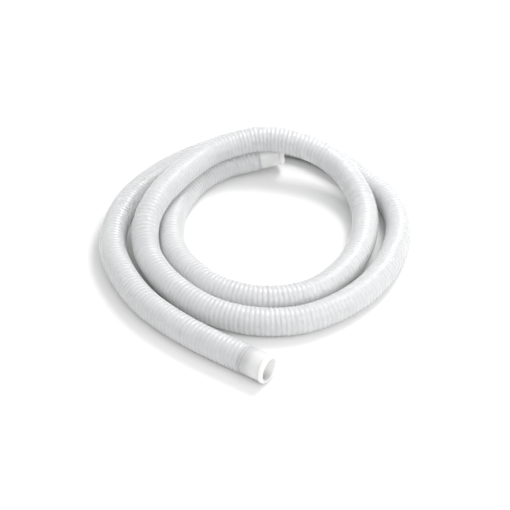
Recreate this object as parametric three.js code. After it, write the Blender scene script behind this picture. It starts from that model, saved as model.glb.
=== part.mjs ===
// Pool vacuum hose: a spiral corrugated hose lying in a loose coil, with a fixed cuff at one end
// and a swivel cuff at the other. Millimetres, +Z up, the floor at z = 0.
import * as THREE from 'three';

// ---- hose ----
const HOSE_OD = 40;
const BORE = 32;
const HOSE_SIDES = 12;
const HOSE_STEPS = 78;

// ---- cuffs, measured along their axis from the hose's end (s = 0) to the mouth ----
const JOIN_GAP = 0.4;
const CUFF_OD = 38.6;
const CUFF_LENGTH = 40;
const SPIGOT_OD = 29.4;
const SPIGOT_DEPTH = 15;
const SPIGOT_BORE = 25;
const SOCKET_DEPTH = 26;
const LIP_OD = 41;
const LIP_LENGTH = 7;
const LIP_ROUND = 2;
const GROOVE_WIDTH = 1.6;
const GROOVE_DEPTH = 1.1;
const TURN_SIDES = 40;

// ---- swivel: the collar's nose turns inside the front cuff ----
const FLANGE_LENGTH = 3.2;
const SWIVEL_GAP = 0.8;
const NOSE_OD = 31.4;
const NOSE_LENGTH = 12;
const BEAD_OD = 33.6;
const BEAD_LENGTH = 3;
const TURN_CLEARANCE = 0.4;

// The hose's centreline from the swivel cuff to the fixed cuff: the loose tail and the outer turn,
// the second turn, which climbs over the first two strands at the back, and the half turn inside.
const ROUTE = [
  [145, -235, 20.6], [90, -235, 20], [25, -230, 20], [-40, -215, 20], [-100, -185, 20],
  [-150, -145, 20], [-185, -90, 20], [-205, -25, 20], [-205, 45, 20], [-190, 110, 20],
  [-160, 170, 20], [-115, 215, 20], [-60, 235, 20], [0, 230, 20], [65, 210, 20], [125, 185, 20],
  [165, 145, 20], [190, 95, 20], [205, 30, 20], [205, -25, 20], [191, -80, 20], [163, -128, 20],
  [116, -163, 20], [55, -180, 20.5], [-10, -174, 23], [-62, -155, 25], [-98, -131, 30],
  [-125, -95, 45], [-138, -50, 57], [-142, 0, 62], [-143, 50, 62], [-138, 90, 62],
  [-119, 128, 64], [-85, 160, 68], [-40, 178, 66], [5, 185, 58], [45, 180, 47], [85, 160, 33],
  [115, 130, 25], [140, 85, 21.5], [155, 35, 20.3], [158, -15, 20], [147, -67, 20],
  [121, -102, 20], [83, -127, 20], [30, -137, 20], [-25, -125, 20], [-70, -101, 20],
  [-105, -63, 20], [-129, -20, 20], [-142, 25, 20], [-146, 65, 20], [-140, 99, 20.8],
  [-130, 124, 22], [-114, 144, 24], [-100, 160, 26.5],
];

const route = new THREE.CatmullRomCurve3(
  ROUTE.map((p) => new THREE.Vector3(...p)),
  false,
  'centripetal',
);

function ring(radius) {
  const points = [];
  const sides = HOSE_SIDES;
  for (let k = 0; k < sides; k += 1) {
    const a = (2 * Math.PI * (k + 0.5)) / sides;
    points.push(new THREE.Vector2(radius * Math.cos(a), radius * Math.sin(a)));
  }
  return points;
}

function hoseWall() {
  const section = new THREE.Shape(ring(HOSE_OD / 2));
  const boreCorner = BORE / 2 / Math.cos(Math.PI / HOSE_SIDES);
  section.holes.push(new THREE.Path(ring(boreCorner).reverse()));
  return new THREE.ExtrudeGeometry(section, {
    steps: HOSE_STEPS,
    bevelEnabled: false,
    extrudePath: route,
  });
}

// Turns a closed outline of [s, radius] pairs about an end's axis, which points out of the mouth.
function turned(outline, end) {
  const profile = outline.map(([s, r]) => new THREE.Vector2(r, s));
  profile.push(profile[0].clone());
  const geometry = new THREE.LatheGeometry(profile, TURN_SIDES);
  const toAxis = new THREE.Quaternion().setFromUnitVectors(new THREE.Vector3(0, 1, 0), end.axis);
  geometry.applyQuaternion(toAxis);
  geometry.translate(end.at.x, end.at.y, end.at.z);
  return geometry;
}

// The outside of a cuff from its groove to its flat rim: groove, lip and rounded corner.
function lipOutline() {
  const sleeve = CUFF_OD / 2;
  const r = LIP_OD / 2;
  const lipStart = CUFF_LENGTH - LIP_LENGTH;
  const groove = [
    [lipStart - GROOVE_WIDTH, sleeve],
    [lipStart - GROOVE_WIDTH / 2, sleeve - GROOVE_DEPTH],
    [lipStart, r],
  ];
  const corner = [];
  for (let k = 0; k <= 4; k += 1) {
    const a = (Math.PI / 2) * (k / 4);
    corner.push([
      CUFF_LENGTH - LIP_ROUND + LIP_ROUND * Math.sin(a),
      r - LIP_ROUND + LIP_ROUND * Math.cos(a),
    ]);
  }
  const rim = [CUFF_LENGTH, BORE / 2];
  return [...groove, ...corner, rim];
}

function rearCuff(end) {
  return turned([
    [-SPIGOT_DEPTH, SPIGOT_BORE / 2],
    [-SPIGOT_DEPTH, SPIGOT_OD / 2],
    [JOIN_GAP, SPIGOT_OD / 2],
    [JOIN_GAP, CUFF_OD / 2],
    ...lipOutline(),
    [CUFF_LENGTH - SOCKET_DEPTH, BORE / 2],
    [CUFF_LENGTH - SOCKET_DEPTH, SPIGOT_BORE / 2],
  ], end);
}

function swivelCollar(end) {
  const noseEnd = JOIN_GAP + FLANGE_LENGTH + NOSE_LENGTH;
  return turned([
    [-SPIGOT_DEPTH, SPIGOT_BORE / 2],
    [-SPIGOT_DEPTH, SPIGOT_OD / 2],
    [JOIN_GAP, SPIGOT_OD / 2],
    [JOIN_GAP, CUFF_OD / 2],
    [JOIN_GAP + FLANGE_LENGTH, CUFF_OD / 2],
    [JOIN_GAP + FLANGE_LENGTH, NOSE_OD / 2],
    [noseEnd - BEAD_LENGTH, NOSE_OD / 2],
    [noseEnd - BEAD_LENGTH, BEAD_OD / 2],
    [noseEnd - BEAD_LENGTH / 2, BEAD_OD / 2],
    [noseEnd, NOSE_OD / 2],
    [noseEnd, SPIGOT_BORE / 2],
  ], end);
}

function frontCuff(end) {
  const back = JOIN_GAP + FLANGE_LENGTH + SWIVEL_GAP;
  const noseEnd = JOIN_GAP + FLANGE_LENGTH + NOSE_LENGTH;
  const track = BEAD_OD / 2 + TURN_CLEARANCE;
  const neck = NOSE_OD / 2 + TURN_CLEARANCE;
  return turned([
    [back, neck],
    [back, CUFF_OD / 2],
    ...lipOutline(),
    [noseEnd + TURN_CLEARANCE + 1, BORE / 2],
    [noseEnd + TURN_CLEARANCE, track],
    [noseEnd - BEAD_LENGTH - TURN_CLEARANCE, track],
    [noseEnd - BEAD_LENGTH - TURN_CLEARANCE, neck],
  ], end);
}

function node(name, geometry, color) {
  const material = new THREE.MeshStandardMaterial({ color, roughness: 0.45, metalness: 0 });
  const mesh = new THREE.Mesh(geometry, material);
  mesh.name = name;
  return mesh;
}

const points = route.points;
const last = points.length - 1;
const front = {
  at: points[0],
  axis: new THREE.Vector3(1, 0, 0),
};
const rear = {
  at: points[last],
  axis: new THREE.Vector3(0.66, 0.74, 0.12).normalize(),
};

const hose = new THREE.Group();
hose.name = 'pool_vacuum_hose';
hose.add(
  node('hose_wall', hoseWall(), 0xdfe3e0),
  node('swivel_collar', swivelCollar(front), 0xe2e5e2),
  node('front_swivel_cuff', frontCuff(front), 0xe9ebe9),
  node('rear_cuff', rearCuff(rear), 0xe9ebe9),
);

export default hose;
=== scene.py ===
"""Pool vacuum hose: a milky ribbed hose in a loose coil, with a smooth cuff at each end."""

import math

import bmesh
import bpy
import numpy as np
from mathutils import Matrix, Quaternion, Vector


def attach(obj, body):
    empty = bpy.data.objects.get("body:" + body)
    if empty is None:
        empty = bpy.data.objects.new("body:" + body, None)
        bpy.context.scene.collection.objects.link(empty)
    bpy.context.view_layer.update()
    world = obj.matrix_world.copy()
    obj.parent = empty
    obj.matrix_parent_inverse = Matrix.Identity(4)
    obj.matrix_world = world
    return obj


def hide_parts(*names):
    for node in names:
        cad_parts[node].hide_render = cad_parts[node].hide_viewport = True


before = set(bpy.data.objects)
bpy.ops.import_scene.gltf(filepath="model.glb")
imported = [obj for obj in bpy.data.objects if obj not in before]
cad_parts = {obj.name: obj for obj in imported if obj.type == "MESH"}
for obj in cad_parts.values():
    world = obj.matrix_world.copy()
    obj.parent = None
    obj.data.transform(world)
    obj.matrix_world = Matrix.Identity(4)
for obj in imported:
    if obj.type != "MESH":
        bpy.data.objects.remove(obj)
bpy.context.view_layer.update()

MM = 0.001

# ---- sizes from the CAD source ----
HOSE_R = 20 * MM
BORE_R = 16 * MM
CUFF_R = 19.3 * MM
CUFF_LENGTH = 40 * MM
LIP_R = 20.5 * MM
LIP_LENGTH = 7 * MM
LIP_ROUND = 2 * MM
GROOVE_DEPTH = 1.1 * MM
SPIGOT_R = 14.7 * MM
SPIGOT_DEPTH = 15 * MM
SPIGOT_BORE_R = 12.5 * MM
SOCKET_DEPTH = 26 * MM
FLANGE_LENGTH = 3.2 * MM
JOIN_GAP = 0.4 * MM
NOSE_R = 15.7 * MM
NOSE_LENGTH = 12 * MM
TURN_GAP = 0.4 * MM

# The hose's centreline, the same list as in the CAD source, in metres.
ROUTE = [
    (0.145, -0.235, 0.0206), (0.09, -0.235, 0.02), (0.025, -0.23, 0.02), (-0.04, -0.215, 0.02),
    (-0.1, -0.185, 0.02), (-0.15, -0.145, 0.02), (-0.185, -0.09, 0.02), (-0.205, -0.025, 0.02),
    (-0.205, 0.045, 0.02), (-0.19, 0.11, 0.02), (-0.16, 0.17, 0.02), (-0.115, 0.215, 0.02),
    (-0.06, 0.235, 0.02), (0, 0.23, 0.02), (0.065, 0.21, 0.02), (0.125, 0.185, 0.02),
    (0.165, 0.145, 0.02), (0.19, 0.095, 0.02), (0.205, 0.03, 0.02), (0.205, -0.025, 0.02),
    (0.191, -0.08, 0.02), (0.163, -0.128, 0.02), (0.116, -0.163, 0.02), (0.055, -0.18, 0.0205),
    (-0.01, -0.174, 0.023), (-0.062, -0.155, 0.025), (-0.098, -0.131, 0.03),
    (-0.125, -0.095, 0.045), (-0.138, -0.05, 0.057), (-0.142, 0, 0.062), (-0.143, 0.05, 0.062),
    (-0.138, 0.09, 0.062), (-0.119, 0.128, 0.064), (-0.085, 0.16, 0.068), (-0.04, 0.178, 0.066),
    (0.005, 0.185, 0.058), (0.045, 0.18, 0.047), (0.085, 0.16, 0.033), (0.115, 0.13, 0.025),
    (0.14, 0.085, 0.0215), (0.155, 0.035, 0.0203), (0.158, -0.015, 0.02), (0.147, -0.067, 0.02),
    (0.121, -0.102, 0.02), (0.083, -0.127, 0.02), (0.03, -0.137, 0.02), (-0.025, -0.125, 0.02),
    (-0.07, -0.101, 0.02), (-0.105, -0.063, 0.02), (-0.129, -0.02, 0.02), (-0.142, 0.025, 0.02),
    (-0.146, 0.065, 0.02), (-0.14, 0.099, 0.0208), (-0.13, 0.124, 0.022), (-0.114, 0.144, 0.024),
    (-0.1, 0.16, 0.0265),
]
FRONT_AXIS = Vector((1, 0, 0))
REAR_AXIS = Vector((0.66, 0.74, 0.12)).normalized()

# ---- ribs ----
RIB_PITCH = 6.6 * MM
RIB_HEIGHT = 0.8 * MM
STEPS_PER_RIB = 6
HOSE_SIDES = 32
INNER_STEP = 24 * MM
CREST_SHARPNESS = 0.75
END_PLAIN = 3 * MM

# ---- finish of the cuffs' edges ----
CUFF_SIDES = 72
CUFF_EDGE = 0.7 * MM
COLLAR_EDGE = 0.5 * MM
RIM_CHAMFER = 0.3 * MM

# ---- camera: height angle, turn about the object, distance and lens ----
LOOK_AT = Vector((0.018, -0.022, 0.0))
CAMERA_ELEVATION = 38.2
CAMERA_TURN = 34.0
CAMERA_DISTANCE = 1.982
LENS = 94.7

# ---- plastic ----
CLOUD_SCALE = 9
GLOSS_SWING = 0.07
BUMP_STRENGTH = 0.12
BUMP_DEPTH = 0.2 * MM
PLASTIC_IOR = 1.5
SCATTER_DEPTH = 22 * MM
HOSE_GRAIN = 260
CUFF_GRAIN = 400
PLASTIC_ROUGHNESS = 0.24

FLOOR_HALF_SIZE = 6
CORD_PATH_POINTS = 291


def smooth_route(points, per_span=24):
    """A centripetal Catmull-Rom curve through the points, as the CAD source has it."""
    p = [np.array(q, float) for q in points]
    p = [2 * p[0] - p[1], *p, 2 * p[-1] - p[-2]]
    made = []
    for a, b, c, d in zip(p, p[1:], p[2:], p[3:]):
        ka, kb, kc = (math.sqrt(np.linalg.norm(v - u)) for u, v in ((a, b), (b, c), (c, d)))
        start = ((b - a) / ka - (c - a) / (ka + kb) + (c - b) / kb) * kb
        end = ((c - b) / kb - (d - b) / (kb + kc) + (d - c) / kc) * kb
        for k in range(per_span):
            t = k / per_span
            made.append(
                b
                + start * t
                + (3 * (c - b) - 2 * start - end) * t**2
                + (2 * (b - c) + start + end) * t**3
            )
    made.append(p[-2])
    return np.array(made)


class Centreline:
    """The route by distance along it, with a sideways direction carried along without twist."""

    def __init__(self, points):
        self.points = smooth_route(points)
        steps = np.linalg.norm(np.diff(self.points, axis=0), axis=1)
        self.at = np.concatenate([[0], np.cumsum(steps)])
        self.length = float(self.at[-1])
        tangent = np.gradient(self.points, self.at, axis=0)
        self.tangent = tangent / np.linalg.norm(tangent, axis=1)[:, None]
        side = np.array((0.0, 0.0, 1.0))
        sides = []
        for t in self.tangent:
            side = side - t * (side @ t)
            side = side / np.linalg.norm(side)
            sides.append(side)
        self.side = np.array(sides)

    def frame(self, s):
        """Position and the two sideways directions at distances s."""

        def read(values):
            return np.stack([np.interp(s, self.at, values[:, k]) for k in range(3)], -1)

        tangent, side = read(self.tangent), read(self.side)
        tangent /= np.linalg.norm(tangent, axis=-1, keepdims=True)
        side -= tangent * (side * tangent).sum(-1, keepdims=True)
        side /= np.linalg.norm(side, axis=-1, keepdims=True)
        return read(self.points), side, np.cross(tangent, side)

    def surface(self, s, angle, radius):
        centre, up, across = self.frame(s)
        out = up * np.cos(angle)[..., None] + across * np.sin(angle)[..., None]
        return centre + out * np.asarray(radius)[..., None]


def new_piece(name, vertices, faces, smooth=True):
    mesh = bpy.data.meshes.new(name)
    mesh.from_pydata([tuple(v) for v in vertices], [], faces)
    bm = bmesh.new()
    bm.from_mesh(mesh)
    bmesh.ops.remove_doubles(bm, verts=bm.verts, dist=1e-6)
    bmesh.ops.dissolve_degenerate(bm, dist=1e-6, edges=bm.edges)
    bmesh.ops.recalc_face_normals(bm, faces=bm.faces)
    bm.to_mesh(mesh)
    bm.free()
    for polygon in mesh.polygons:
        polygon.use_smooth = smooth
    piece = bpy.data.objects.new(name, mesh)
    bpy.context.scene.collection.objects.link(piece)
    return piece


def rib_radius(s, angle, length):
    """Rounded ribs with narrower valleys, running as a one-start screw, plain at both ends."""
    phase = 2 * math.pi * s / RIB_PITCH - angle
    crest = (0.5 + 0.5 * np.cos(phase)) ** CREST_SHARPNESS
    from_end = np.minimum(s, length - s)
    fade = np.clip(from_end / END_PLAIN, 0, 1)
    return HOSE_R - RIB_HEIGHT * (1 - crest * fade)


def ribbed_hose(line):
    """The outer wall's rows of points follow the screw, so a row lies along each rib's crest."""
    step = RIB_PITCH / STEPS_PER_RIB
    rows = int(math.ceil(line.length / step)) + STEPS_PER_RIB + 1
    i, j = np.meshgrid(np.arange(rows), np.arange(HOSE_SIDES), indexing="ij")
    angle = 2 * math.pi * j / HOSE_SIDES
    s = np.clip((i - STEPS_PER_RIB + STEPS_PER_RIB * j / HOSE_SIDES) * step, 0, line.length)
    outer = line.surface(s, angle, rib_radius(s, angle, line.length)).reshape(-1, 3)

    faces = []
    for r in range(rows - 1):
        for c in range(HOSE_SIDES):
            if c < HOSE_SIDES - 1:
                a, b = r * HOSE_SIDES + c, r * HOSE_SIDES + c + 1
            else:
                if r + STEPS_PER_RIB + 1 >= rows:
                    continue
                a, b = r * HOSE_SIDES + c, (r + STEPS_PER_RIB) * HOSE_SIDES
            faces.append((a, a + HOSE_SIDES, b + HOSE_SIDES, b))

    rings = int(line.length / INNER_STEP) + 1
    k, j = np.meshgrid(np.arange(rings), np.arange(HOSE_SIDES), indexing="ij")
    s = k * line.length / (rings - 1)
    angle = 2 * math.pi * j / HOSE_SIDES
    inner = line.surface(s, angle, np.full(s.shape, BORE_R)).reshape(-1, 3)
    first = len(outer)
    for r in range(rings - 1):
        for c in range(HOSE_SIDES):
            d = (c + 1) % HOSE_SIDES
            a = first + r * HOSE_SIDES
            faces.append((a + c, a + d, a + HOSE_SIDES + d, a + HOSE_SIDES + c))

    last_outer = (rows - 1) * HOSE_SIDES
    last_inner = first + (rings - 1) * HOSE_SIDES
    for outer_row, inner_row in ((0, first), (last_outer, last_inner)):
        for c in range(HOSE_SIDES):
            d = (c + 1) % HOSE_SIDES
            faces.append((outer_row + c, outer_row + d, inner_row + d, inner_row + c))
    return new_piece("ribbed_hose", np.concatenate([outer, inner]), faces)


def rounded(outline, radius, steps=4):
    """The closed outline of (s, r) pairs with each corner rounded."""
    points = [Vector(p) for p in outline]
    made = []
    for k, here in enumerate(points):
        before, after = points[k - 1], points[(k + 1) % len(points)]
        one, two = before - here, after - here
        reach = min(radius, one.length * 0.45, two.length * 0.45)
        start, end = here + one.normalized() * reach, here + two.normalized() * reach
        for n in range(steps + 1):
            t = n / steps
            made.append((1 - t) ** 2 * start + 2 * t * (1 - t) * here + t**2 * end)
    return made


def turned(name, outline, at, axis, sides=CUFF_SIDES):
    """Turns a closed outline of (s, r) pairs about the axis."""
    swing = Vector((1, 0, 0)).rotation_difference(axis)
    vertices, faces = [], []
    count = len(outline)
    for k in range(sides):
        spin = Quaternion((1, 0, 0), 2 * math.pi * k / sides)
        vertices += [at + swing @ (spin @ Vector((p.x, p.y, 0))) for p in outline]
        here, there = k * count, (k + 1) % sides * count
        for n in range(count):
            m = (n + 1) % count
            faces.append((here + n, here + m, there + m, there + n))
    return new_piece(name, vertices, faces)


def lip_outline():
    """The outside of a cuff near its mouth: a groove, then a rounded bead, then the rim."""
    lip = CUFF_LENGTH - LIP_LENGTH
    return [
        (lip - 1.8 * MM, CUFF_R),
        (lip - 1.2 * MM, CUFF_R - GROOVE_DEPTH),
        (lip - 0.5 * MM, CUFF_R - GROOVE_DEPTH),
        (lip + 0.4 * MM, LIP_R),
        (CUFF_LENGTH - 2.4 * MM, LIP_R),
        (CUFF_LENGTH, LIP_R - LIP_ROUND),
        (CUFF_LENGTH, BORE_R + RIM_CHAMFER),
        (CUFF_LENGTH - 0.8 * MM, BORE_R),
    ]


def rear_cuff(at):
    outline = [
        (-SPIGOT_DEPTH, SPIGOT_BORE_R),
        (-SPIGOT_DEPTH, SPIGOT_R),
        (JOIN_GAP, SPIGOT_R),
        (JOIN_GAP, CUFF_R),
        *lip_outline(),
        (CUFF_LENGTH - SOCKET_DEPTH, BORE_R),
        (CUFF_LENGTH - SOCKET_DEPTH, SPIGOT_BORE_R),
    ]
    return turned("rear_cuff_body", rounded(outline, CUFF_EDGE), at, REAR_AXIS)


def swivel_collar(at):
    nose_end = JOIN_GAP + FLANGE_LENGTH + NOSE_LENGTH
    outline = [
        (-SPIGOT_DEPTH, SPIGOT_BORE_R),
        (-SPIGOT_DEPTH, SPIGOT_R),
        (JOIN_GAP, SPIGOT_R),
        (JOIN_GAP, CUFF_R),
        (JOIN_GAP + FLANGE_LENGTH, CUFF_R),
        (JOIN_GAP + FLANGE_LENGTH, NOSE_R),
        (nose_end, NOSE_R),
        (nose_end, SPIGOT_BORE_R),
    ]
    return turned("swivel_collar_body", rounded(outline, COLLAR_EDGE), at, FRONT_AXIS)


def front_cuff(at):
    back = JOIN_GAP + FLANGE_LENGTH + 2 * TURN_GAP
    nose_end = JOIN_GAP + FLANGE_LENGTH + NOSE_LENGTH
    outline = [
        (back, NOSE_R + TURN_GAP),
        (back, CUFF_R),
        *lip_outline(),
        (nose_end + 3 * TURN_GAP, BORE_R),
        (nose_end + 2 * TURN_GAP, NOSE_R + TURN_GAP),
    ]
    return turned("front_cuff_body", rounded(outline, CUFF_EDGE), at, FRONT_AXIS)


# ---- materials ----
def milky_plastic(name, light, shade, grain):
    """Cloudy moulded plastic: slow drifts of tint, fine grain in the gloss, a little bump."""
    material = bpy.data.materials.new(name)
    material.use_nodes = True
    nodes, links = material.node_tree.nodes, material.node_tree.links
    shader = nodes["Principled BSDF"]
    place = nodes.new("ShaderNodeTexCoord")

    cloud = nodes.new("ShaderNodeTexNoise")
    cloud.inputs["Scale"].default_value = CLOUD_SCALE
    cloud.inputs["Detail"].default_value = 3
    tint = nodes.new("ShaderNodeMix")
    tint.data_type = "RGBA"
    tint.inputs["A"].default_value = (*shade, 1)
    tint.inputs["B"].default_value = (*light, 1)
    links.new(place.outputs["Object"], cloud.inputs["Vector"])
    links.new(cloud.outputs["Fac"], tint.inputs["Factor"])
    links.new(tint.outputs["Result"], shader.inputs["Base Color"])

    speck = nodes.new("ShaderNodeTexNoise")
    speck.inputs["Scale"].default_value = grain
    speck.inputs["Detail"].default_value = 4
    gloss = nodes.new("ShaderNodeMapRange")
    gloss.inputs["To Min"].default_value = PLASTIC_ROUGHNESS - GLOSS_SWING
    gloss.inputs["To Max"].default_value = PLASTIC_ROUGHNESS + GLOSS_SWING
    links.new(place.outputs["Object"], speck.inputs["Vector"])
    links.new(speck.outputs["Fac"], gloss.inputs["Value"])
    links.new(gloss.outputs["Result"], shader.inputs["Roughness"])

    bump = nodes.new("ShaderNodeBump")
    bump.inputs["Strength"].default_value = BUMP_STRENGTH
    bump.inputs["Distance"].default_value = BUMP_DEPTH
    links.new(speck.outputs["Fac"], bump.inputs["Height"])
    links.new(bump.outputs["Normal"], shader.inputs["Normal"])

    shader.inputs["IOR"].default_value = PLASTIC_IOR
    shader.inputs["Subsurface Weight"].default_value = 1.0
    shader.inputs["Subsurface Scale"].default_value = SCATTER_DEPTH
    shader.inputs["Subsurface Radius"].default_value = (1.0, 1.0, 0.95)
    return material


def give(piece, material, body, slot, *nodes):
    piece.data.materials.clear()
    piece.data.materials.append(material)
    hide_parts(*nodes)
    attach(piece, body)


# ---- camera, floor and light ----
def add_camera():
    up, turn = math.radians(CAMERA_ELEVATION), math.radians(CAMERA_TURN)
    ahead = Vector((-math.sin(turn) * math.cos(up), math.cos(turn) * math.cos(up), -math.sin(up)))
    data = bpy.data.cameras.new("camera")
    data.lens = LENS
    camera = bpy.data.objects.new("camera", data)
    camera.location = LOOK_AT - ahead * CAMERA_DISTANCE
    camera.rotation_euler = ahead.to_track_quat("-Z", "Y").to_euler()
    bpy.context.scene.collection.objects.link(camera)
    bpy.context.scene.camera = camera


def add_floor():
    reach = FLOOR_HALF_SIZE
    corners = [(-reach, -reach, 0), (reach, -reach, 0), (reach, reach, 0), (-reach, reach, 0)]
    floor = new_piece("floor", corners, [(0, 1, 2, 3)], smooth=False)
    material = bpy.data.materials.new("floor_white")
    material.use_nodes = True
    shader = material.node_tree.nodes["Principled BSDF"]
    shader.inputs["Base Color"].default_value = (0.82, 0.82, 0.82, 1)
    shader.inputs["Roughness"].default_value = 0.8
    shader.inputs["Specular IOR Level"].default_value = 0.1
    floor.data.materials.append(material)


def add_area_light(name, azimuth, elevation, distance, size, power):
    """A square lamp facing the coil; azimuth is counted from the camera's right, to the back."""
    a = math.radians(azimuth + CAMERA_TURN)
    e = math.radians(elevation)
    away = Vector((math.cos(a) * math.cos(e), math.sin(a) * math.cos(e), math.sin(e)))
    data = bpy.data.lights.new(name, "AREA")
    data.size = size
    data.energy = power
    lamp = bpy.data.objects.new(name, data)
    lamp.location = LOOK_AT + away * distance
    lamp.rotation_euler = (-away).to_track_quat("-Z", "Y").to_euler()
    bpy.context.scene.collection.objects.link(lamp)


def add_light():
    world = bpy.data.worlds.new("studio")
    world.use_nodes = True
    world.node_tree.nodes["Background"].inputs["Color"].default_value = (1, 1, 1, 1)
    world.node_tree.nodes["Background"].inputs["Strength"].default_value = 0.87
    bpy.context.scene.world = world
    add_area_light("key", 48, 58, 1.8, 0.7, 17)
    add_area_light("fill", -55, 38, 2.4, 1.8, 22)
    bpy.context.scene.view_settings.view_transform = "Standard"


def main():
    add_camera()
    add_floor()
    add_light()

    line = Centreline(ROUTE)
    hose_plastic = milky_plastic(
        "hose_plastic", (0.73, 0.736, 0.73), (0.68, 0.693, 0.688), HOSE_GRAIN
    )
    cuff_plastic = milky_plastic("cuff_plastic", (0.72, 0.72, 0.71), (0.69, 0.695, 0.69), CUFF_GRAIN)

    hose = ribbed_hose(line)
    give(hose, hose_plastic, "hose", "hose", "hose_wall")
    collar = swivel_collar(Vector(ROUTE[0]))
    give(collar, cuff_plastic, "hose", "cuff", "swivel_collar")
    front = front_cuff(Vector(ROUTE[0]))
    give(front, cuff_plastic, "front_cuff", "cuff", "front_swivel_cuff")
    rear = rear_cuff(Vector(ROUTE[-1]))
    give(rear, cuff_plastic, "hose", "cuff", "rear_cuff")

    stops = np.linspace(0, line.length, CORD_PATH_POINTS)
    [tuple(map(float, p)) for p in line.frame(stops)[0]]


main()
